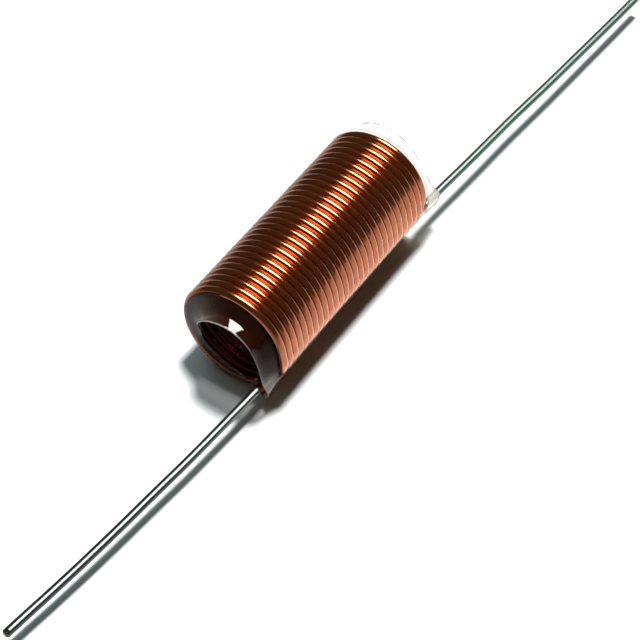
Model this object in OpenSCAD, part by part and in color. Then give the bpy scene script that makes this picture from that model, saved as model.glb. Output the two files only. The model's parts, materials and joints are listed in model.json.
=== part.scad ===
// Air core inductor: one layer of enamelled copper wire wound close, with no
// former inside, its two ends straightened into tinned leads, and the coil
// held together by a clear shrunk sleeve.  The coil's axis is X, the near lead
// leaves towards -X and the far lead towards +X.  It lies on its sleeve, with
// Z up and the origin in the middle of the bore.  Millimetres and degrees;
// angles round the coil go from +Y towards +Z.

/* [Wire] */
// Diameter of the copper
copper_d = 1.0; // [0.5:0.05:1.4]
// Thickness of the enamel on the wound length
enamel_t = 0.03; // [0.01:0.01:0.06]
// Thickness of the tin on the stripped leads
tin_t = 0.03; // [0.01:0.01:0.06]

/* [Coil] */
// Diameter of the bore, as the mandrel left it
bore_d = 12; // [9:0.5:20]
// Turns between the two leads
turns = 28.9; // [5.9:1:60.9]
// Space between one turn and the next
turn_gap = 0.01; // [0.01:0.01:0.3]
// Angle at which the first turn starts
start_angle = 235; // [200:1:260]

/* [Leads] */
// Length of the near lead beyond its bend
near_lead_l = 42.5; // [20:0.5:90]
// Length of the far lead beyond its bend
far_lead_l = 50; // [20:0.5:90]
// Radius of the bend where a lead leaves the coil
bend_r = 1.5; // [1:0.1:2]

// Length of enamel left on each lead beyond its bend, under the sleeve's end
enamel_run = 2; // [2:0.1:6]

/* [Sleeve] */
// Thickness of the sleeve's wall round the coil
sleeve_t = 0.3; // [0.28:0.02:0.6]
// Thickness of the film in its shrunk ends
lip_t = 0.2; // [0.1:0.02:0.22]
// Space between the coil and the sleeve
sleeve_gap = 0.12; // [0.12:0.02:0.3]
// Straight length of the sleeve beyond the wire's middle at each end
sleeve_over = 0.3; // [0.2:0.1:0.6]
// Depth of the narrow flat that the sleeve lies on
flat_depth = 0.06; // [0.02:0.01:0.06]
// Overhang of the shrunk near end beyond the straight wall
near_over = 1.45; // [1.45:0.05:3]
// Overhang of the shrunk far end beyond the straight wall
far_over = 1.8; // [1.2:0.05:3]
// Distance by which the near end's film closes in from the wall to its mouth
near_close = 2.3; // [1.5:0.1:3]
// Distance by which the far end's film closes in from the wall to its mouth
far_close = 1.8; // [1:0.1:3]

/* [Hidden] */

wire_d = copper_d + 2 * enamel_t;
tin_d = copper_d + 2 * tin_t;
pitch = wire_d + turn_gap;
coil_r = bore_d / 2 + wire_d / 2;
coil_l = turns * pitch;

// Each half turn is a true half circle, tilted so that it gains half a pitch.
half_turns = ceil(turns * 2);
last_arc = (turns * 2 - half_turns + 1) * 180;
tilt = atan(pitch / 4 / coil_r);
tilted_r = norm([coil_r, pitch / 4]);

// Directions of the two leads once they have left the coil.
near_aim = [-1, 0.082, -0.014];
far_aim = [1, -0.059, -0.019];

// Round the bends the enamel is drawn thinner by this much, and each length
// of wire starts this far inside the one before it.
bend_thinning = 0.01;
seat = 0.05;
// What the enamel still adds to the copper's diameter where its taper ends.
feathered = 0.01;

sleeve_in_r = coil_r + wire_d / 2 + sleeve_gap;
sleeve_out_r = sleeve_in_r + sleeve_t;
sleeve_l = coil_l + 2 * sleeve_over;

// The film of the shrunk ends starts inside the wall, this far from its faces.
lip_seat = 0.03;
lip_root_l = 0.3;
lip_proud = 0.05;
lip_mid_r = sleeve_in_r + lip_seat + lip_t / 2;
lip_sides = 60;
lip_steps = 5;

// Shape of each end: how its rim is skewed up and sideways, how its mouth
// lies off the axis, and the height of its waves.
near_rim = [1.0, 0.55];
near_mouth_shift = 0.75;
far_rim = [0.3, 0.2];
far_mouth_shift = 0.1;
rim_wave = 0.12;

// The spout of film over each lead: how wide it is, how far it is drawn out
// and how clear of the lead it passes.
spout_w = 16;
near_spout_l = 0.8;
far_spout_l = 0.9;
near_spout_room = 0.22;
far_spout_room = 0.5;
lead_turn = atan(bend_r / coil_r);
lead_out_r = norm([coil_r, bend_r]) + wire_d / 2;

copper = [0.60, 0.27, 0.13];
tin = [0.78, 0.79, 0.80];
film = [0.80, 0.84, 0.86, 0.35];

$fn = 48;

function unit(v) = v / norm(v);

// A vector in the plane of half turn k, turned into the part's own frame.
function from_half_turn(k, v) =
    let (a = start_angle + k * 180, out = v.x * cos(tilt))
    [-v.x * sin(tilt), out * cos(a) - v.y * sin(a), out * sin(a) + v.y * cos(a)];

// Axes of the wire's section after an arc of half turn k: outwards, and along
// the wire, which runs forward or, with side = -1, back.
function section_axes(k, arc, side) =
    let (
        out = from_half_turn(k, [cos(arc), sin(arc)]),
        along = side * from_half_turn(k, [-sin(arc), cos(arc)])
    )
    [out, cross(along, out), along];

// Roll and bend that turn the wire from its own axes into the direction aim.
function roll_to(axes, aim) = atan2(axes[1] * aim, axes[0] * aim);
function bend_to(axes, aim) = acos(axes[2] * unit(aim));

// Places its children in the plane of half turn k.
module in_half_turn(k) {
    x = from_half_turn(k, [1, 0]);
    y = from_half_turn(k, [0, 1]);
    z = cross(x, y);
    middle = (k + 0.5) * pitch / 2 - coil_l / 2;
    translate([middle, 0, 0])
        multmatrix([[x.x, y.x, z.x, 0], [x.y, y.y, z.y, 0], [x.z, y.z, z.z, 0], [0, 0, 0, 1]])
        children();
}

// Half turn k of the coil, or the arc of it that the last one has.
module half_turn(k, arc) {
    in_half_turn(k) rotate_extrude(angle = arc) translate([tilted_r, 0]) circle(d = wire_d);
}

// Places its children where the wire leaves the coil, turned into its bend.
module at_coil_end(k, arc, side, aim) {
    in_half_turn(k) rotate([0, 0, arc]) translate([tilted_r, 0, 0]) rotate([-90 * side, 0, 0])
        rotate([0, 0, roll_to(section_axes(k, arc, side), aim)])
        children();
}

// The enamelled bend at one end of the coil, from +Z towards +X.
module coil_bend(k, arc, side, aim) {
    d = wire_d - bend_thinning;
    at_coil_end(k, arc, side, aim) {
        translate([0, 0, -seat]) cylinder(d = d, h = seat);
        translate([bend_r, 0, 0]) rotate([90, 0, 180])
            rotate_extrude(angle = bend_to(section_axes(k, arc, side), aim))
            translate([bend_r, 0]) circle(d = d);
    }
}

// Places its children at the start of a lead, which runs along +Z.
module after_coil_bend(k, arc, side, aim) {
    angle = bend_to(section_axes(k, arc, side), aim);
    at_coil_end(k, arc, side, aim)
        translate([bend_r, 0, 0]) rotate([0, angle, 0]) translate([-bend_r, 0, 0])
        children();
}

module at_near_lead() {
    after_coil_bend(0, 0, -1, near_aim) children();
}

module at_far_lead() {
    after_coil_bend(half_turns - 1, last_arc, 1, far_aim) children();
}

// The wire of a lead, seated in the bend: at first the enamel tapers off, where
// the stripping has feathered it, and from there on the copper is bare.
module lead_core(length) {
    translate([0, 0, -seat])
        cylinder(d1 = wire_d - 2 * bend_thinning, d2 = copper_d + feathered, h = enamel_run + seat);
    translate([0, 0, enamel_run - seat]) cylinder(d = copper_d, h = length - enamel_run + seat);
}

// The tin round the stripped length.
module lead_coat(length) {
    translate([0, 0, enamel_run]) linear_extrude(length - enamel_run) difference() {
        circle(d = tin_d);
        circle(d = copper_d);
    }
}

module winding() {
    color(copper) {
        for (k = [0 : half_turns - 2]) half_turn(k, 180);
        half_turn(half_turns - 1, last_arc);
        coil_bend(0, 0, -1, near_aim);
        coil_bend(half_turns - 1, last_arc, 1, far_aim);
        at_near_lead() lead_core(near_lead_l);
        at_far_lead() lead_core(far_lead_l);
    }
}

module near_lead_tin() {
    color(tin) at_near_lead() lead_coat(near_lead_l);
}

module far_lead_tin() {
    color(tin) at_far_lead() lead_coat(far_lead_l);
}

// A smooth flat-topped swelling of height 1, w degrees to each side of middle.
function swell(a, middle, w) =
    let (d = a - middle - 360 * round((a - middle) / 360))
    exp(-pow(d / w, 4));

// Point of a shrunk end's film at angle a, t degrees on from the wall, where
// it starts, to its rim at 90.  It curls in over the last turn, and over the
// lead it is lifted and drawn out into a spout.  half is half the thickness,
// negative on the face towards the bore.
function lip_point(a, t, over, close, skew, shift, spout_a, drawn, room, half) =
    let (
        spout = swell(a, spout_a, spout_w),
        wave = rim_wave * sin(3 * a + 40),
        rim_out = over + skew[0] * sin(a) - skew[1] * cos(a) + drawn * spout + wave / 2,
        rim_r = lip_mid_r - close - shift * cos(a) + wave,
        curled_r = rim_r + (lip_mid_r + half - rim_r) * cos(t),
        lifted_r = lip_mid_r + half + (lead_out_r + room - lip_mid_r) * sin(t),
        r = curled_r * (1 - spout) + lifted_r * spout
    )
    [lip_proud + (rim_out + half) * sin(t), r * cos(a), r * sin(a)];

// Rings of one face of the film; the first lies inside the wall.
function lip_rings(over, close, skew, shift, spout_a, drawn, room, half) =
    let (
        angles = [for (i = [0 : lip_sides - 1]) i * 360 / lip_sides],
        root = [for (a = angles) [-lip_root_l, (lip_mid_r + half) * cos(a), (lip_mid_r + half) * sin(a)]],
        curl = [for (j = [0 : lip_steps]) [for (a = angles)
            lip_point(a, j * 90 / lip_steps, over, close, skew, shift, spout_a, drawn, room, half)]]
    )
    concat([root], curl);

// One shrunk end, as a closed band of rings, that overhangs towards +X.
module lip(over, close, skew, shift, spout_a, drawn, room) {
    outside = lip_rings(over, close, skew, shift, spout_a, drawn, room, lip_t / 2);
    inside = lip_rings(over, close, skew, shift, spout_a, drawn, room, -lip_t / 2);
    rings = concat(outside, [for (j = [len(inside) - 1 : -1 : 0]) inside[j]]);
    points = [for (ring = rings) for (p = ring) p];
    faces = [for (j = [0 : len(rings) - 1]) for (i = [0 : lip_sides - 1])
        let (
            k = (j + 1) % len(rings),
            n = (i + 1) % lip_sides,
            a = j * lip_sides + i,
            b = j * lip_sides + n,
            c = k * lip_sides + n,
            d = k * lip_sides + i
        )
        each [[a, c, b], [a, d, c]]
    ];
    polyhedron(points, faces);
}

// The straight wall round the coil, with the narrow flat that it lies on.
module sleeve_wall() {
    rotate([0, 90, 0]) difference() {
        cylinder(r = sleeve_out_r, h = sleeve_l, center = true, $fn = 96);
        cylinder(r = sleeve_in_r, h = sleeve_l + 1, center = true, $fn = 96);
        translate([sleeve_out_r - flat_depth, -sleeve_out_r, -sleeve_l])
            cube([1, 2 * sleeve_out_r, 2 * sleeve_l]);
    }
}

module sleeve() {
    near_spout_a = start_angle - lead_turn;
    far_spout_a = start_angle + turns * 360 + lead_turn;
    color(film) {
        sleeve_wall();
        mirror([1, 0, 0]) translate([sleeve_l / 2, 0, 0])
            lip(near_over, near_close, near_rim, near_mouth_shift,
                near_spout_a, near_spout_l, near_spout_room);
        translate([sleeve_l / 2, 0, 0])
            lip(far_over, far_close, far_rim, far_mouth_shift,
                far_spout_a, far_spout_l, far_spout_room);
    }
}

winding();
near_lead_tin();
far_lead_tin();
sleeve();
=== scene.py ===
# %% [markdown]
# # A close-wound air core coil in a clear shrunk sleeve
# One length of enamelled copper wire is wound tight against itself with no
# former inside, its two stripped ends are tinned and run out straight, and a
# clear film has been shrunk over the whole coil.  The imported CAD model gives
# the sizes and the frame; this script gives the surfaces their fine shape and
# their finishes.

# %% Load the frame
import json
import math

import bpy
import numpy as np

from mathutils import Matrix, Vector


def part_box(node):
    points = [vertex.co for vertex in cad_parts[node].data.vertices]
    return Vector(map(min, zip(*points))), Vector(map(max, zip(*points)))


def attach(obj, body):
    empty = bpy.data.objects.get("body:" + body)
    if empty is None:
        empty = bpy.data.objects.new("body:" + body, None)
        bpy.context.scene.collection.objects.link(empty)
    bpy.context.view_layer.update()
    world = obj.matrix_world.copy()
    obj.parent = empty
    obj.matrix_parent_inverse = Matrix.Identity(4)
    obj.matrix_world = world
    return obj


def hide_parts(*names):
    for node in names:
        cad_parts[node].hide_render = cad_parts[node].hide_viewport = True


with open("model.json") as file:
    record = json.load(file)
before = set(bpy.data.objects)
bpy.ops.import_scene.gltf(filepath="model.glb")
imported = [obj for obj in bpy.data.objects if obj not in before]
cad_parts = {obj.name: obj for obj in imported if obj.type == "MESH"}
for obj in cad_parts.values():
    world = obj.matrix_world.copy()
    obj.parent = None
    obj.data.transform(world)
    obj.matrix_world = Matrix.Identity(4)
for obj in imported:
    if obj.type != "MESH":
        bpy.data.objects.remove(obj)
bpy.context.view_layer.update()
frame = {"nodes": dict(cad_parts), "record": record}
print("CAD nodes:", sorted(frame["nodes"]))

# %% [markdown]
# ## Sizes
# These are the coil's own sizes, in metres as everything in Blender is here.
# They repeat those of the CAD source, so wire drawn from them lies where the CAD
# model's wire does.  The film is drawn thinner and closer to the turns than the
# CAD model's wall.  The record holds the two leads' axes as mounts.

# %% The wire, the coil and the sleeve
MM = 0.001
wire_r = 0.53 * MM
pitch = 1.07 * MM
coil_r = 6.53 * MM
turns = 28.9
start_angle = math.radians(235)
bend_r = 1.5 * MM
enamel_run = 2 * MM
coil_half = turns * pitch / 2
film_off = 0.05 * MM  # from the turns' crests to the middle of the film
film_r = coil_r + wire_r + film_off
floor_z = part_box("sleeve")[0].z
mounts = {m["name"]: m for m in frame["record"]["mounts"]}


def lead_axis(name):
    """Where the bend ends, the direction to the tip and the length of a lead.  Its
    mount covers the tinned part, which starts one enamel run beyond the bend."""
    mount = mounts[name]
    along = np.array(mount["axis"], float)
    along /= np.linalg.norm(along)
    length = mount["dims"]["length_mm"] * MM
    root = np.array(mount["pos_m"], float) - along * (length / 2 + enamel_run)
    return root, along, length + enamel_run


for name in ("near_lead", "far_lead"):
    print(name, "starts at", lead_axis(name)[0].round(4), "and is", lead_axis(name)[2], "long")

# %% [markdown]
# ## Meshes from whole arrays
# Every new piece is a grid of points worked out at once with numpy.  A ring
# carried along a path makes a wire, and a profile carried round the axis makes
# the film.  One helper turns such a grid into a mesh and closes it where it
# meets itself.  Numbers put on its points tell a material where it lies.


# %% Grid to mesh
def grid_piece(name, points, closed_along=False, capped=False):
    """A smooth mesh from points[along, around]: each ring closes on itself, and
    the rings close into a band, or get a flat cap at each end."""
    rows, sides = points.shape[:2]
    i = np.arange(rows if closed_along else rows - 1)[:, None]
    j = np.arange(sides)[None, :]
    nxt_i, nxt_j = (i + 1) % rows, (j + 1) % sides
    quads = np.stack([i * sides + j, i * sides + nxt_j, nxt_i * sides + nxt_j, nxt_i * sides + j], -1)
    faces = quads.reshape(-1, 4).tolist()
    if capped:
        last = (rows - 1) * sides
        faces += [list(range(sides))[::-1], list(range(last, last + sides))]
    mesh = bpy.data.meshes.new(name)
    mesh.from_pydata(points.reshape(-1, 3), [], faces)
    mesh.polygons.foreach_set("use_smooth", np.ones(len(mesh.polygons), bool))
    piece = bpy.data.objects.new(name, mesh)
    bpy.context.scene.collection.objects.link(piece)
    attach(piece, "root")
    print(name, "has", len(mesh.polygons), "faces")
    return piece


def float_attribute(piece, name, values):
    """One number for each point of the mesh, for its material to read."""
    layer = piece.data.attributes.new(name, "FLOAT", "POINT")
    layer.data.foreach_set("value", np.ascontiguousarray(values, np.float32).ravel())


def unit(v):
    """Vectors scaled to length one."""
    return v / np.linalg.norm(v, axis=-1, keepdims=True)


def carry_round(path, radius, sides):
    """A ring of the given radius carried along a path: at each point it lies in
    the plane across the path, measured from the direction out from the X axis."""
    along = unit(np.gradient(path, axis=0))
    out = path * [0, 1, 1]
    out = unit(out - (out * along).sum(-1, keepdims=True) * along)
    side = np.cross(along, out)
    a = np.arange(sides) * 2 * math.pi / sides
    ring = np.cos(a)[None, :, None] * out[:, None] + np.sin(a)[None, :, None] * side[:, None]
    return path[:, None] + ring * np.broadcast_to(radius, len(path))[:, None, None]


# %% [markdown]
# ## The wire's path
# The winding is a helix.  At each end the wire leaves the helix along its own
# tangent, goes round a small bend and runs out as a lead.  A curve object with a
# bevel could draw it too, but a path worked out as one array can be changed in
# radius as it goes, and its points can carry numbers for the material.
#
# A hand-fed winding isn't perfect, so each turn sits a hundredth of a millimetre
# in or out, and all of them spring out a little on the side where the leads run,
# the first few most of all.  Only the radius wanders: turns that touch can't get
# any closer.


# %% Helix and bends
whole = turns * 2 * math.pi
leads_side = 204  # the side where the leads run, in degrees round the coil
sprung = 0.3 * MM  # how far every turn springs out there
sprung_more = 0.08 * MM  # how much further the first turns do
sprung_fade = 5 * MM
held_arc = 4  # the bends hold the wire in over this many radians at each end


def beside_leads(degrees, half_width=20):
    """A smooth hump round the circle: 1 on the side of the leads, 0 elsewhere."""
    off = (degrees - leads_side + 180) % 360 - 180
    return np.exp(-(off / half_width) ** 4)


def spring(from_near_end):
    """How far turns spring out on that side: a steady amount, and a bell curve of
    the distance from the near end."""
    return sprung + sprung_more * np.exp(-(from_near_end / sprung_fade) ** 2)


def helix(angle):
    """Points of the winding at angles from its start: out by the coil's radius,
    a slow wander and the spring, and forward by one pitch a turn."""
    settle = np.sin(np.clip(angle / whole, 0, 1) * math.pi) ** 0.5
    wander = (0.008 * np.sin(0.31 * angle + 1) + 0.006 * np.sin(0.83 * angle)) * MM * settle
    turn = start_angle + angle
    forward = angle / (2 * math.pi) * pitch
    free = np.clip(np.minimum(angle, whole - angle) / held_arc, 0, 1)
    r = coil_r + wander + spring(forward) * beside_leads(np.degrees(turn)) * free
    return np.stack([forward - coil_half, r * np.cos(turn), r * np.sin(turn)], -1)


def bend(start, along, aim, samples=14):
    """A circular bend from the direction along to the direction aim: sideways by
    radius times one minus the cosine, forward by radius times the sine."""
    inward = unit(aim - (aim @ along) * along)
    a = np.linspace(0, math.acos(aim @ along), samples)[1:, None]
    return start + bend_r * ((1 - np.cos(a)) * inward + np.sin(a) * along)


points_a_turn = 80
coil_points = helix(np.linspace(0, whole, int(turns * points_a_turn)))
near_root, near_aim, _ = lead_axis("near_lead")
far_root, far_aim, _ = lead_axis("far_lead")
near_bend = bend(coil_points[0], unit(coil_points[0] - coil_points[1]), near_aim)
far_bend = bend(coil_points[-1], unit(coil_points[-1] - coil_points[-2]), far_aim)
print("bend ends miss the lead axes by", np.linalg.norm(near_bend[-1] - near_root).round(5),
      np.linalg.norm(far_bend[-1] - far_root).round(5))

# %% The enamelled winding
# At each end a short stub runs on into the lead, drawn thinner to stay inside it.
stub = np.array([0.3, 0.6])[:, None] * MM
drawn_thinner = np.array([0.04, 0.02, 0.02, 0.04]) * MM
wound = np.concatenate([
    near_root + stub[::-1] * near_aim, near_bend[::-1],
    coil_points,
    far_bend, far_root + stub * far_aim,
])
thickness = np.full(len(wound), wire_r)
thickness[[0, 1, -2, -1]] -= drawn_thinner
winding_sides = 20
winding = grid_piece("enamelled_winding", carry_round(wound, thickness, winding_sides),
                     capped=True)
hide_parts("winding")

# %% Where the winding is darkened with painted shade
# Each ring of points starts on the outside of the coil, so its angle tells which
# way a point faces.  Those that face the axis lie in the bore, which is darkened
# with painted shade.
ring_angles = np.arange(winding_sides) * 2 * math.pi / winding_sides
painted_bore_shade = np.clip((-np.cos(ring_angles) - 0.05) / 0.5, 0, 1)
float_attribute(winding, "painted_bore_shade", np.broadcast_to(painted_bore_shade, (len(wound), winding_sides)))

# Those that face a neighbouring turn lie in a groove.  The grooves get painted
# shade on the side of the leads only.
to_neighbour = np.clip((np.abs(np.sin(ring_angles)) - 0.65) / 0.3, 0, 1)
round_coil = np.degrees(np.arctan2(wound[:, 2], wound[:, 1]))
groove = to_neighbour * beside_leads(round_coil + 14, 42)[:, None]
float_attribute(winding, "groove", groove)
print("share of points in the bore", painted_bore_shade.mean().round(2), "and in a groove", groove.mean().round(2))

# %% [markdown]
# ## The leads
# A lead is stiff wire that has been straightened by hand, so it keeps a slight
# bow.  The bow is given as a few level offsets from the lead's straight axis, in
# millimetres, joined by a smooth curve.  It could be sculpted or simulated, but
# a few offsets are easier to read and to change.  The tin starts almost at the
# bend here, while the CAD model leaves a short enamelled run before it.  The tip
# is cut with side cutters, which leave a pinched end with a ridge across it.

# %% Bowed, tinned leads
lead_bows = {
    "near_lead": ([0, 6.5, 13, 19, 25, 31, 36, 39, 43],
                  [0, -0.155, -0.31, -0.29, -0.33, -0.27, -0.135, 0, 0.12]),
    "far_lead": ([0, 4, 8, 13, 20, 28, 36, 44, 50],
                 [0, 0.13, 0.08, 0.11, 0.19, 0.06, 0.06, 0.06, 0.1]),
}
tin_from = 0.3 * MM  # from the end of the bend
tip_trim = 0.4 * MM  # what the pinched tip adds, so that the lead keeps its length
bow_from = 2 * MM  # the bow starts over this length
# The pinched tip: how far forward each ring lies in millimetres, and what share
# of the wire's width is left there.
tip_rings = ((0.0, 0.99), (0.16, 0.95), (0.27, 0.84), (0.33, 0.62), (0.35, 0.3))


def smooth_curve(x, xs, ys):
    """A curve through the given offsets: straight runs averaged over a short
    length on both sides, which rounds their corners."""
    reach = np.linspace(-2, 2, 9)
    return np.mean([np.interp(x + d, xs, ys) for d in reach], axis=0)


def lead_path(name):
    """Points along a lead: its straight axis, and its bow level across it."""
    root, along, length = lead_axis(name)
    s = np.linspace(tin_from, length - tip_trim, 160)
    sideways = unit(np.cross([0, 0, 1.0], along))
    if sideways[1] < 0:
        sideways = -sideways
    started = np.clip((s - tin_from) / bow_from, 0, 1)
    bow = smooth_curve(s / MM, *lead_bows[name]) * MM * started
    return root + s[:, None] * along + bow[:, None] * sideways


def tinned_lead(name, node):
    """A lead with a pinched tip: its last rings narrow mostly across one way."""
    path = lead_path(name)
    rings = carry_round(path, wire_r, 24)
    tip = path[-1]
    along = unit(path[-1] - path[-2])
    across = unit(np.cross(along, [0, 0, 1.0]))
    ring = rings[-1] - tip
    width = (ring @ across)[:, None] * across
    ends = []
    for forward, squeeze in tip_rings:
        pinched = (ring - width) * (0.4 + 0.6 * squeeze) + width * squeeze
        ends.append(tip + pinched + forward * MM * along)
    rings = np.concatenate([rings, np.array(ends)])
    lead = grid_piece(f"tinned_{name}", rings, capped=True)
    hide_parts(node)
    return lead


near_lead = tinned_lead("near_lead", "near_lead_tin")
far_lead = tinned_lead("far_lead", "far_lead_tin")

# %% [markdown]
# ## The clear sleeve
# The film hugs the turns along the coil and curls in over the last turn at
# each end.  Where it passes over a lead it is drawn out into a spout.  A cloth
# simulation could shrink a tube over the coil, but the mouths would come out by
# chance.  Each end is described by its mouth instead: at a few angles round the
# coil, how far from the axis the cut edge is and how far it stands out beyond the
# last turn.  A smooth cubic curve then leads from the wall to the mouth.

# %% The two mouths
# Angle in degrees, then in millimetres the distance from the axis, the overhang
# and the length of the collar, the last part, which lies along the axis.
near_mouth = [
    (4, 3.4, 1.4, 0.1), (30, 3.75, 2.1, 0.3), (55, 4.3, 2.7, 0.7), (78, 4.75, 2.75, 1.2),
    (100, 5.08, 2.7, 1.4), (119, 5.33, 2.7, 1.3), (141, 5.6, 2.7, 0.9), (163, 5.5, 2.7, 0.5),
    (184, 5.85, 2.7, 0.3), (198, 6.4, 2.6, 0.2), (207, 7.1, 2.3, 0.2), (214, 7.8, 2.0, 0.1),
    (220, 8.0, 1.9, 0.1), (227, 7.5, 1.5, 0), (236, 6.5, 1.0, 0), (245, 5.7, 0.65, 0),
    (264, 4.6, 0.6, 0), (299, 4.1, 0.6, 0), (326, 4.2, 0.65, 0), (345, 3.7, 1.0, 0),
]
far_mouth = [
    (0, 5.8, 1.9, 0.2), (40, 6.3, 2.1, 0.3), (73, 6.6, 2.2, 0.4), (94, 6.5, 2.2, 0.4),
    (113, 6.0, 2.4, 0.4), (129, 5.6, 2.5, 0.3), (150, 5.6, 2.3, 0.3), (175, 6.2, 2.2, 0.2),
    (186, 6.7, 2.8, 0.1), (194, 7.2, 3.5, 0), (203, 7.5, 3.4, 0), (212, 7.7, 2.9, 0),
    (222, 7.3, 2.4, 0), (235, 6.1, 1.9, 0), (260, 5.4, 1.6, 0.1), (300, 5.3, 1.5, 0.2),
    (335, 5.4, 1.7, 0.2),
]
around = 180
angles = np.arange(around) * 2 * math.pi / around
film_t = 0.07 * MM
shoulder_l = 1.02 * MM  # the cubic's first handle: the longer, the fuller the shoulder
least_knee = 0.72 * MM  # its second handle ends at least this far past the last turn
mouth_flare = 0.08 * MM  # how far the collar opens out again at its edge
mouth_ripple = 0.03 * MM  # and how far the edge waves in and out
dip_depth = 0.045 * MM  # how far the film dips between two turns


def round_average(values, degrees):
    """Values round the circle, each averaged with its neighbours on both sides."""
    reach = int(round(degrees * around / 360))
    return np.mean([np.roll(values, k) for k in range(-reach, reach + 1)], axis=0)


def hump(middle, half_width, power=4):
    """A smooth hump round the circle: 1 at an angle in degrees, 0 far from it."""
    off = (np.degrees(angles) - middle + 180) % 360 - 180
    return np.exp(-np.abs(off / half_width) ** power)


def film_end(table, last_turn, shoulder_r, steps=20, collar_steps=6):
    """The film beyond the last turn, as distance out along the axis and from it.
    A cubic curve leaves the shoulder over the last turn along the axis and comes
    to the collar along it again, so that the neck has an S-shaped profile."""
    at, *columns = np.array(table, float).T
    mouth_r, over, collar = (
        round_average(np.interp(np.degrees(angles), at, column, period=360), 4) * MM for column in columns
    )
    t = np.linspace(0, 1, steps)[:, None]
    b0, b1, b2, b3 = (1 - t) ** 3, 3 * t * (1 - t) ** 2, 3 * t * t * (1 - t), t ** 3
    shoulder = last_turn + shoulder_l
    neck_end = over - collar
    knee = np.maximum(neck_end - 0.55 * (neck_end - shoulder), last_turn + least_knee)
    x = b0 * last_turn + b1 * shoulder + b2 * knee + b3 * neck_end
    r = (b0 + b1) * shoulder_r + (b2 + b3) * mouth_r
    along = np.linspace(0, 1, collar_steps + 1)[1:, None]
    flare = mouth_flare * along ** 2 + mouth_ripple * np.sin(7 * angles) * along
    return np.concatenate([x, neck_end + collar * along]), np.concatenate([r, mouth_r + flare])


# %% The film along the coil
# At each end the film follows the last turn, which climbs by a pitch as it goes
# round.  It stands off the turns on the side of the leads, most of all at the
# near end, where it is stretched over the wire's bend.
end_angle = start_angle + whole
near_turn = -round_average(((angles - start_angle) / (2 * math.pi)) % 1, 10) * pitch
far_turn = -round_average(((end_angle - angles) / (2 * math.pi)) % 1, 10) * pitch
loose_side = beside_leads(np.degrees(angles))


def film_wall(samples):
    """The straight part: it rests on the turns' crests, dips a little into the
    grooves between them as a cosine of the turn, hangs down to the table under the
    coil, and stands off on the leads' side by a tenth more than the turns do."""
    u = np.linspace(0, 1, samples)[:, None]
    x = (1 - u) * (-coil_half - near_turn) + u * (coil_half + far_turn)
    turn = (x + coil_half) / pitch - (angles - start_angle) / (2 * math.pi)
    dip = dip_depth * (0.5 - 0.5 * np.cos(2 * math.pi * turn))
    ends = np.clip(np.minimum(u, 1 - u) * 2 * coil_half / pitch, 0, 1)
    slack = hump(270, 24) * (-floor_z - film_r - film_t / 2) * 0.98
    stand_off = loose_side * (spring(u * 2 * coil_half) * 1.1 + 0.01 * MM)
    return x, film_r - dip * ends * (1 - loose_side) + slack * ends + stand_off


wall_x, wall_r = film_wall(190)
near_x, near_r = film_end(near_mouth, near_turn, wall_r[0])
far_x, far_r = film_end(far_mouth, far_turn, wall_r[-1])
sheet_x = np.concatenate([-coil_half - near_x[::-1], wall_x[1:-1], coil_half + far_x])
sheet_r = np.concatenate([near_r[::-1], wall_r[1:-1], far_r])
sheet = np.stack([sheet_x, sheet_r * np.cos(angles), sheet_r * np.sin(angles)], -1)
outward = unit(np.cross(np.roll(sheet, -1, 1) - np.roll(sheet, 1, 1), np.gradient(sheet, axis=0)))
outward *= np.sign((outward * sheet * [0, 1, 1]).sum(-1))[len(sheet) // 2, 0]
faces_of_film = np.concatenate([sheet + outward * film_t / 2, (sheet - outward * film_t / 2)[::-1]])
sleeve = grid_piece("clear_sleeve", faces_of_film, closed_along=True)
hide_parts("sleeve")

# %% [markdown]
# ## Where the film is cloudy or painted
# The film is clear where it lies flat on the turns.  Where it has closed in at the
# near end, a dark painted shade stands for the dark bore seen through the clear film.
# Pale painted sheen lies where it is drawn out into the near spout, on the near end's
# upper left and where it stands off on the leads' side.  At the far end it is pale
# and cloudy beyond the last turn.  A painted texture could say where, but three
# numbers on each point of the mesh do the same and follow its shape: how solid it is,
# how pale, and how much the point belongs to a cut edge.

# %% Haze, tone and cut edge
rows = len(sheet)
near_rows, far_rows = len(near_x), len(far_x)
haze, tone, cut = np.zeros((rows, around)), np.zeros((rows, around)), np.zeros((rows, around))


def closed_in(r, shoulder_r):
    """How far the film has left its shoulder, from 0 to 1 in a short way."""
    return np.clip((shoulder_r - r - 0.4 * MM) / (0.3 * MM), 0, 1)


# %% The near end: painted shade above and at the sides, clearer below, paler painted sheen in the spout
# Angle in degrees, then how strong the film's painted shade is there.
near_painted_shade = [
    (0, 0.6), (30, 0.85), (60, 0.95), (135, 0.95), (165, 0.65), (195, 0.65), (212, 0.8), (228, 0.85),
    (240, 0.6), (262, 0.2), (300, 0.15), (335, 0.3),
]
near_shade_and_sheen = round_average(np.interp(np.degrees(angles), *zip(*near_painted_shade), period=360), 5)
near_shade_and_sheen = near_shade_and_sheen * np.maximum(closed_in(near_r, wall_r[0]), 0.8 * hump(217, 14))
haze[:near_rows] = near_shade_and_sheen[::-1]
towards_mouth = np.linspace(1, 0, near_rows)[:, None]
# Painted sheen: pale on the spout, and a faint pale reflection on the upper left, stronger towards the
# mouth.
tone[:near_rows] = 0.32 * hump(212, 16) + 0.16 * hump(44, 26, 2) * towards_mouth

# %% The far end: clear but for a seam beside the last turn and its pale spout
beyond_turn = (far_x - far_turn) / MM
seam = np.exp(-((beyond_turn - 0.62) / 0.2) ** 2)
haze[-far_rows:] = np.clip(beyond_turn / 0.6, 0, 1) * (0.05 + 0.55 * hump(200, 20)) + 0.7 * seam
tone[-far_rows:] = 1 - 0.5 * seam

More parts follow.
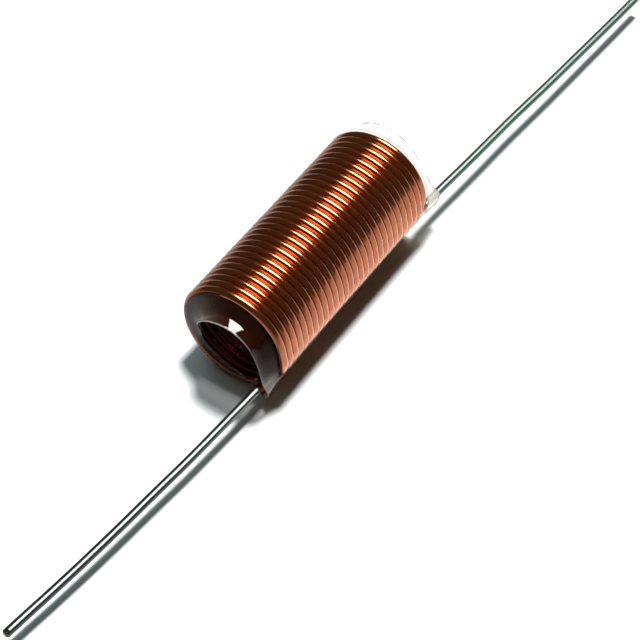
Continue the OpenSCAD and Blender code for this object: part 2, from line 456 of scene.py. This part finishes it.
# %% The wall: a faint pale painted sheen on the film's edge where it stands off, more just before the far end
at_far_end = np.exp(-((wall_x[1:-1] - coil_half - far_turn) / (1.3 * MM)) ** 2)
haze[near_rows:-far_rows] = (0.045 + 0.3 * at_far_end) * hump(leads_side, 15)
tone[near_rows:-far_rows] = (0.75 + 0.25 * at_far_end) * hump(leads_side, 20)

# %% The cut edges: one row of points at the near mouth and three at the far one
# The near cut edge is a painted highlight, strongest at the top.
cut[0] = 0.5 + 0.5 * hump(85, 45)
cut[-3:] = 0.8
for name, values in (("haze", haze), ("tone", tone), ("cut_edge", cut)):
    float_attribute(sleeve, name, np.concatenate([values, values[::-1]]))
    print(name, "averages", values.mean().round(3))

# %% [markdown]
# ## Finishes
# The three finishes share one effect: fine uneven marks from drawing, stripping
# and handling.  It is built once as a node group and placed in each material with
# its own scales.  Scratches could be painted one by one, but none of them can be
# made out, so noise is enough.  Its streaks run along X, as the leads do.


# %% Helpers for nodes
def new_material(name):
    """A node material and its Principled shader."""
    material = bpy.data.materials.new(name)
    material.use_nodes = True
    return material, material.node_tree.nodes["Principled BSDF"]


def add_node(tree, kind, **values):
    """A node with its inputs set by name."""
    node = tree.nodes.new(kind)
    for key, value in values.items():
        if hasattr(node, key):
            setattr(node, key, value)
        else:
            node.inputs[key.replace("_", " ")].default_value = value
    return node


# %% Node group: marks
def build_marks():
    """Two noises, both 0 to 1: streaks, which are stretched along X, and patches,
    which are the same in every direction."""
    group = bpy.data.node_groups.new("drawn_marks", "ShaderNodeTree")
    for name in ("Streak Scale", "Patch Scale"):
        group.interface.new_socket(name, in_out="INPUT", socket_type="NodeSocketFloat")
    for name in ("Streaks", "Patches"):
        group.interface.new_socket(name, in_out="OUTPUT", socket_type="NodeSocketFloat")
    inputs, outputs = group.nodes.new("NodeGroupInput"), group.nodes.new("NodeGroupOutput")
    coords = group.nodes.new("ShaderNodeTexCoord")
    stretch = add_node(group, "ShaderNodeMapping")
    stretch.inputs["Scale"].default_value = (0.12, 1, 1)
    streaks = add_node(group, "ShaderNodeTexNoise", Detail=4.0, Roughness=0.6)
    patches = add_node(group, "ShaderNodeTexNoise", Detail=2.0, Roughness=0.5)
    link = group.links.new
    link(coords.outputs["Object"], stretch.inputs["Vector"])
    link(stretch.outputs["Vector"], streaks.inputs["Vector"])
    link(coords.outputs["Object"], patches.inputs["Vector"])
    link(inputs.outputs["Streak Scale"], streaks.inputs["Scale"])
    link(inputs.outputs["Patch Scale"], patches.inputs["Scale"])
    link(streaks.outputs["Fac"], outputs.inputs["Streaks"])
    link(patches.outputs["Fac"], outputs.inputs["Patches"])
    return group


marks = build_marks()


def add_marks(tree, streak_scale, patch_scale):
    """The marks group, placed in a material with its own scales."""
    node = tree.nodes.new("ShaderNodeGroup")
    node.node_tree = marks
    node.inputs["Streak Scale"].default_value = streak_scale
    node.inputs["Patch Scale"].default_value = patch_scale
    return node


def spread(tree, value, low, high):
    """A noise, which seldom leaves 0.3 to 0.7, spread over a new range."""
    node = add_node(tree, "ShaderNodeMapRange")
    node.inputs["From Min"].default_value, node.inputs["From Max"].default_value = 0.3, 0.7
    node.inputs["To Min"].default_value, node.inputs["To Max"].default_value = low, high
    tree.links.new(value, node.inputs["Value"])
    return node.outputs["Result"]


def blend_colours(tree, factor, first, second):
    """A colour between two, each given as numbers or as a socket, by a factor."""
    node = add_node(tree, "ShaderNodeMix", data_type="RGBA")
    for socket, colour in ((node.inputs[6], first), (node.inputs[7], second)):
        if isinstance(colour, tuple):
            socket.default_value = (*colour, 1)
        else:
            tree.links.new(colour, socket)
    tree.links.new(factor, node.inputs["Factor"])
    return node.outputs[2]


def attribute(tree, name):
    """A number that a piece's mesh carries."""
    return add_node(tree, "ShaderNodeAttribute", attribute_name=name).outputs["Fac"]


# %% [markdown]
# ## Enamelled copper
# The wire is bright copper under a clear lacquer.  A plain glossy orange would look
# like plastic.  A metal with a clear coat gives both reflections of the real wire:
# the wide orange one of the copper and the narrow white one of the lacquer.  Its
# colour is darkened with painted shade in the bore and in the grooves on the leads' side.

# %% Enamelled copper
enamel, shader = new_material("enamelled copper")
tree = enamel.node_tree
wear = add_marks(tree, 1400, 160)
deep_copper, bright_copper = (0.58, 0.155, 0.042), (0.68, 0.20, 0.066)
bore_shade_copper, groove_shade_copper = (0.20, 0.03, 0.016), (0.4, 0.09, 0.038)
patches = spread(tree, wear.outputs["Patches"], 0, 1)
colour = blend_colours(tree, patches, deep_copper, bright_copper)
# Painted shade: the copper darkens in the bore.
colour = blend_colours(tree, attribute(tree, "painted_bore_shade"), colour, bore_shade_copper)
# Painted shade: the copper darkens in the grooves on the leads' side.
colour = blend_colours(tree, attribute(tree, "groove"), colour, groove_shade_copper)
tree.links.new(colour, shader.inputs["Base Color"])
tree.links.new(spread(tree, wear.outputs["Streaks"], 0.15, 0.22), shader.inputs["Roughness"])
shader.inputs["Metallic"].default_value = 1
shader.inputs["Coat Weight"].default_value = 1
shader.inputs["Coat Roughness"].default_value = 0.03
shader.inputs["Coat IOR"].default_value = 1.55
winding.data.materials.append(enamel)
print(enamel.name, "has", len(tree.nodes), "nodes")

# %% [markdown]
# ## Tin
# The leads are tinned.  The tin is a dark grey metal with fine marks along it,
# duller and a little greener on the far lead than on the near one.  Two materials
# would do, but one that changes along X keeps the leads alike in all the rest.

# %% Tin on the leads
tin, shader = new_material("tinned wire")
tree = tin.node_tree
wear = add_marks(tree, 2200, 260)
place = tree.nodes.new("ShaderNodeSeparateXYZ")
tree.links.new(tree.nodes.new("ShaderNodeTexCoord").outputs["Object"], place.inputs[0])
duller = add_node(tree, "ShaderNodeMapRange")
duller.inputs["From Min"].default_value, duller.inputs["From Max"].default_value = -0.03, 0.03
tree.links.new(place.outputs["X"], duller.inputs["Value"])
near_tin, far_tin = (0.17, 0.19, 0.185), (0.17, 0.24, 0.21)
colour = blend_colours(tree, duller.outputs["Result"], near_tin, far_tin)
tree.links.new(colour, shader.inputs["Base Color"])
rougher = add_node(tree, "ShaderNodeMath", operation="MULTIPLY_ADD")
tree.links.new(duller.outputs["Result"], rougher.inputs[0])
rougher.inputs[1].default_value = 0.1
tree.links.new(spread(tree, wear.outputs["Streaks"], 0.24, 0.34), rougher.inputs[2])
tree.links.new(rougher.outputs[0], shader.inputs["Roughness"])
shader.inputs["Metallic"].default_value = 1
bump = add_node(tree, "ShaderNodeBump", Strength=0.25, Distance=0.00002)
tree.links.new(wear.outputs["Streaks"], bump.inputs["Height"])
tree.links.new(bump.outputs["Normal"], shader.inputs["Normal"])
for lead in (near_lead, far_lead):
    lead.data.materials.append(tin)
print(tin.name, "has", len(tree.nodes), "nodes")

# %% [markdown]
# ## Clear film
# A glass material would do for a thick wall, but film 0.07 mm thick bends light too
# little to see.  So it is a glossy surface that is mostly see-through.  How solid
# it looks comes from three things: its cloud, its chipped cut edges, and the angle
# it is seen at.  Its colour is partly painted light: a dark painted shade at the near
# end, pale painted sheen on the spout and the leads' side, and a painted highlight
# on the near cut edge.

# %% Clear film
film, shader = new_material("clear film")
tree = film.node_tree


def math_node(operation, first, second):
    """One step of arithmetic on two sockets or numbers."""
    node = add_node(tree, "ShaderNodeMath", operation=operation)
    for socket, value in zip(node.inputs, (first, second)):
        if isinstance(value, (int, float)):
            socket.default_value = value
        else:
            tree.links.new(value, socket)
    return node.outputs[0]


facing = add_node(tree, "ShaderNodeLayerWeight", Blend=0.5).outputs["Facing"]
grazing = math_node("MULTIPLY", math_node("POWER", facing, 5), 0.2)
chips = spread(tree, add_marks(tree, 500, 700).outputs["Patches"], 0.05, 0.85)
chipped_edge = math_node("MULTIPLY", attribute(tree, "cut_edge"), chips)
cloudy = math_node("ADD", attribute(tree, "haze"), chipped_edge)
solidity = math_node("MINIMUM", math_node("ADD", grazing, cloudy), 1.0)
tree.links.new(solidity, shader.inputs["Alpha"])
# The dark colour is painted shade: the dark bore seen through the clear film at the near end.
painted_shade_dark, pale_cloud_and_sheen = (0.018, 0.0035, 0.0015), (0.95, 0.86, 0.69)
# The light edge colour is a painted highlight on the near cut edge.
edge_highlight_by_dark, edge_by_pale = (0.42, 0.37, 0.32), (0.16, 0.15, 0.14)
# Pale colour: painted sheen on the near spout, the near end's upper left and the leads' side, and the
# pale cloud at the far end.
body = blend_colours(tree, attribute(tree, "tone"), painted_shade_dark, pale_cloud_and_sheen)
edge = blend_colours(tree, attribute(tree, "tone"), edge_highlight_by_dark, edge_by_pale)
colour = blend_colours(tree, attribute(tree, "cut_edge"), body, edge)
tree.links.new(colour, shader.inputs["Base Color"])
shader.inputs["Roughness"].default_value = 0.06
shader.inputs["IOR"].default_value = 1.5
shader.inputs["Specular Tint"].default_value = (1, 0.92, 0.86, 1)
sleeve.data.materials.append(film)
print(film.name, "has", len(tree.nodes), "nodes")

# %% [markdown]
# ## The table
# The table is a flat pale sheet under the coil.  The metal mirrors it, and what it
# mirrors gets darker away from the coil: a painted shade.  Dark cards stood round
# the coil could give that, but they would shade the table too.  Here the table's
# colour depends on the ray.  To the camera it is pale.  To rays from a mirroring
# surface it follows a few levels of painted light and shade across and along the
# coil.  Light that goes from the table to the metal and back down again meets a
# darker table still, which is painted shade too.

# %% The table
table_half = 1.5
corners = [(x * table_half, y * table_half, floor_z) for x, y in ((-1, -1), (1, -1), (1, 1), (-1, 1))]
table_mesh = bpy.data.meshes.new("table")
table_mesh.from_pydata(corners, [], [(0, 1, 2, 3)])
table = bpy.data.objects.new("table", table_mesh)
bpy.context.scene.collection.objects.link(table)
paper, shader = new_material("table paper")
tree = paper.node_tree
place = tree.nodes.new("ShaderNodeSeparateXYZ")
tree.links.new(tree.nodes.new("ShaderNodeTexCoord").outputs["Object"], place.inputs[0])


def fall_off(axis, levels):
    """A grey level that follows one coordinate: a list of (metres, level)."""
    first, last = levels[0][0], levels[-1][0]
    reach = add_node(tree, "ShaderNodeMapRange")
    reach.inputs["From Min"].default_value, reach.inputs["From Max"].default_value = first, last
    tree.links.new(place.outputs[axis], reach.inputs["Value"])
    ramp = tree.nodes.new("ShaderNodeValToRGB")
    tree.links.new(reach.outputs["Result"], ramp.inputs["Fac"])
    stops = ramp.color_ramp.elements
    stops[0].color, stops[1].color = [(level, level, level, 1) for _, level in (levels[0], levels[-1])]
    for where, level in levels[1:-1]:
        stops.new((where - first) / (last - first)).color = (level, level, level, 1)
    return ramp.outputs["Color"]


# %% The table's colour, for each kind of ray
# Painted light and shade for the metal to mirror: levels that fall away from the coil.
across = fall_off("Y", [
    (-0.2, 0.25), (-0.115, 0.33), (-0.036, 0.41), (-0.023, 0.47), (-0.016, 0.54), (-0.013, 0.62),
    (-0.0105, 0.87), (-0.008, 1), (-0.003, 1), (0.008, 0.5), (0.011, 0.41), (0.0144, 0.32),
    (0.019, 0.37), (0.027, 0.37), (0.046, 0.29), (0.15, 0.18), (0.2, 0.16),
])
endways = fall_off("X", [
    (-0.6, 0.06), (-0.3, 0.1), (-0.15, 0.2), (-0.08, 0.33), (-0.045, 0.45), (-0.03, 0.45),
    (-0.017, 1), (0.1, 1),
])
both = add_node(tree, "ShaderNodeMix", data_type="RGBA", blend_type="MULTIPLY")
both.inputs["Factor"].default_value = 1
tree.links.new(across, both.inputs[6])
tree.links.new(endways, both.inputs[7])
path = add_node(tree, "ShaderNodeLightPath")
# The darker colour for light sent back down is painted shade.
pale_paper, thrown_back_shade = (0.86, 0.87, 0.86), (0.2, 0.18, 0.18)
mirrored = blend_colours(tree, path.outputs["Diffuse Depth"], both.outputs[2], thrown_back_shade)
colour = blend_colours(tree, path.outputs["Is Glossy Ray"], pale_paper, mirrored)
tree.links.new(colour, shader.inputs["Base Color"])
shader.inputs["Roughness"].default_value = 0.7
shader.inputs["Specular IOR Level"].default_value = 0.1
table_mesh.materials.append(paper)
print(paper.name, "has", len(tree.nodes), "nodes")

# %% [markdown]
# ## Light
# A small key lamp, high up and a little towards the far end, throws the shadows,
# the film's among them.  A large cool fill lamp softens them.  Neither is mirrored
# by anything.  What the pieces mirror comes from three panels, one for the winding,
# one for the film and one for the leads.  One large panel would be simpler, but
# each finish needs its own brightness, so light linking gives each its own panel.
# The film doesn't shade any panel, and the coil doesn't shade the one for the
# leads, so that the near lead stays bright up to its root.  A dim warm room, which
# lights rough surfaces at half its strength, fills in the rest.

# %% The room
world = bpy.data.worlds.new("dim room")
world.use_nodes = True
tree = world.node_tree
strength = add_node(tree, "ShaderNodeMapRange")
strength.inputs["To Min"].default_value, strength.inputs["To Max"].default_value = 0.07, 0.035
tree.links.new(add_node(tree, "ShaderNodeLightPath").outputs["Is Diffuse Ray"], strength.inputs["Value"])
tree.links.new(strength.outputs["Result"], tree.nodes["Background"].inputs["Strength"])
tree.nodes["Background"].inputs["Color"].default_value = (1.0, 0.78, 0.5, 1)
bpy.context.scene.world = world


# %% Helpers for lamps
def placed(x_axis, y_axis, z_axis, at):
    """The matrix of an object whose own axes point these three ways."""
    columns = [(*axis, 0) for axis in (x_axis, y_axis, z_axis)] + [(*at, 1)]
    return Matrix(columns).transposed()


def lamp(name, towards, distance, size, power, colour=(1, 1, 1), narrowed=1):
    """A soft lamp that faces the coil from a direction.  It is round, unless it is
    narrowed across the coil."""
    light = bpy.data.lights.new(name, "AREA")
    light.shape = "ELLIPSE"
    light.size = size
    light.size_y = size * narrowed
    light.color = colour
    light.energy = power
    thing = bpy.data.objects.new(name, light)
    bpy.context.scene.collection.objects.link(thing)
    back = unit(np.asarray(towards, float))
    side = unit(np.cross([0, 1.0, 0], back))
    thing.matrix_world = placed(side, np.cross(back, side), back, back * distance)
    return thing


def linked(pieces, name):
    """A collection of pieces for light linking, not linked to the scene itself."""
    group = bpy.data.collections.new(name)
    for piece in pieces:
        group.objects.link(piece)
    return group


panel_distance = 1.05


def panel(name, towards, size, power, narrowed, mirrored_by, shaded_by):
    """A bright panel that only some pieces mirror and only some pieces shade."""
    thing = lamp(name, towards, panel_distance, size, power, narrowed=narrowed)
    thing.visible_diffuse = False
    thing.light_linking.receiver_collection = linked(mirrored_by, name + " mirrored by")
    thing.light_linking.blocker_collection = linked(shaded_by, name + " shaded by")


# %% Lamps and panels
key = lamp("key lamp", (0.24, 0.045, 1), distance=1.0, size=0.2, power=15)
fill = lamp("cool fill", (0.2, 0.4, 1), distance=1.3, size=1.3, power=4.3, colour=(0.66, 0.95, 0.98))
for light in (key, fill):
    light.visible_glossy = False
all_but_film = [winding, near_lead, far_lead, table]
panel("panel for the coil", (0.34, -0.022, 1), size=0.78, power=13.2, narrowed=0.92,
      mirrored_by=[winding], shaded_by=all_but_film)
panel("panel for the film", (0.34, 0.02, 1), size=1.04, power=52, narrowed=0.78,
      mirrored_by=[sleeve], shaded_by=all_but_film)
panel("panel for the leads", (0.34, -0.22, 1), size=1.04, power=19, narrowed=0.78,
      mirrored_by=[near_lead, far_lead], shaded_by=[table])

# %% [markdown]
# ## The camera
# It looks down at the coil from about a quarter of a metre, through a long lens,
# so the turns get only a little smaller towards the far end.  Its place is given
# from the middle of the near end along its own three axes: right, up and back.

# %% The camera
elevation, swing = math.radians(50.2), math.radians(55.9)
cam_right = np.array([math.cos(swing), -math.sin(swing), 0])
cam_up = np.array([
    math.sin(swing) * math.sin(elevation), math.cos(swing) * math.sin(elevation), math.cos(elevation),
])
cam_back = np.cross(cam_right, cam_up)
near_centre = np.array([-coil_half, 0, 0])
cam_at = near_centre + (10.25 * cam_right + 1.937 * cam_up + 255.3 * cam_back) * MM
lens_reach = 3.4375  # the lens sees a field of one width at this many widths away
camera_data = bpy.data.cameras.new("camera")
camera_data.sensor_width = 36
camera_data.lens = camera_data.sensor_width * lens_reach
camera_data.clip_start = 0.01
camera = bpy.data.objects.new("camera", camera_data)
bpy.context.scene.collection.objects.link(camera)
camera.matrix_world = placed(cam_right, cam_up, cam_back, cam_at)
bpy.context.scene.camera = camera
bpy.context.scene.view_settings.view_transform = "Standard"
print("camera at", cam_at.round(4))
